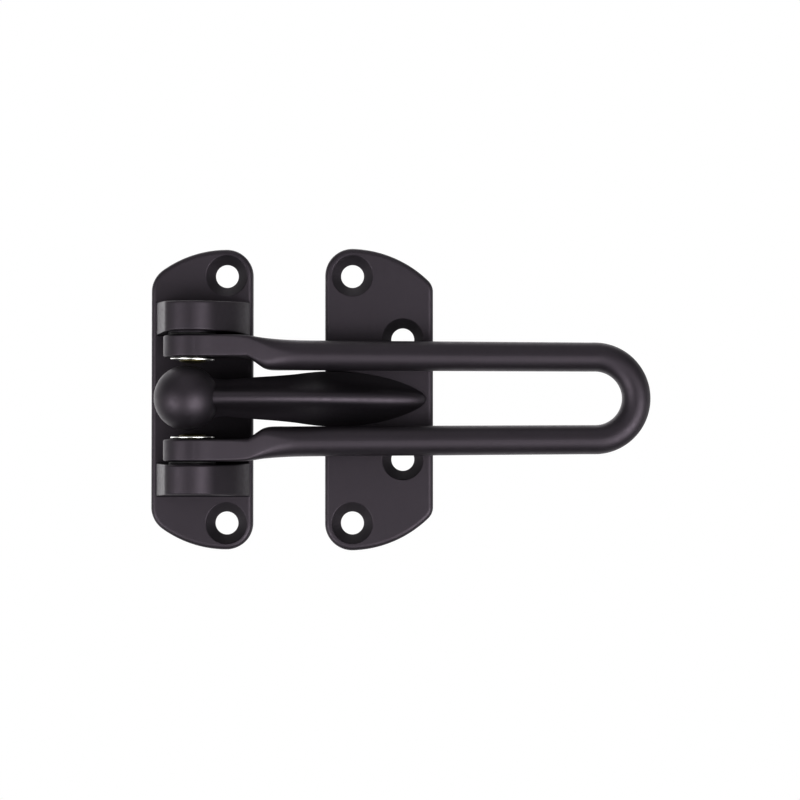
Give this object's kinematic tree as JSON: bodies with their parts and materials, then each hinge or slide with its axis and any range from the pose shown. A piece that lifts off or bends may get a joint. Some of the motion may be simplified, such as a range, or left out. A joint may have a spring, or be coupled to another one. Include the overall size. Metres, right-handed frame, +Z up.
{
  "type": "swing bar door guard",
  "caption": "Swing-bar door guard: a U-shaped bar hinged between lugs on a frame plate swings over a ball on a horn that rises from a door plate; countersunk screw holes.",
  "frame": {"origin": "centre of the hinge plate's flat back face, where it meets the door frame", "axes": "+Z up along the hinge axis, +X from the hinge plate towards the ball plate, front of the guard faces -Y; mirror plane Z=0"},
  "size_m": [0.133, 0.0258, 0.081],
  "materials": {
    "black_coating": "satin black coating, slightly warm, over cast and forged metal",
    "washer_steel": "bright plated steel",
    "pin_metal": "yellow passivated, peened end",
    "friction_washer": "matte black"
  },
  "bodies": {
    "frame_side": {"hinge_plate": "black_coating", "upper_hinge_pin": "pin_metal", "lower_hinge_pin": "pin_metal", "upper_friction_washer": "friction_washer", "lower_friction_washer": "friction_washer", "upper_retaining_washer": "washer_steel", "lower_retaining_washer": "washer_steel"},
    "bar": {"swing_bar": "black_coating"},
    "door_side": {"ball_plate": "black_coating"}
  },
  "joints": [
    {"name": "bar_swing", "type": "hinge", "parent": "frame_side", "child": "bar", "pos_m": [-0.00183, -0.0127, 0], "axis": [0, 0, -1], "range_deg": [0, 180]},
    {"name": "door_free_play", "type": "slide", "parent": "frame_side", "child": "door_side", "axis": [0, -1, 0], "range_m": [0, 0.0042]}
  ]
}
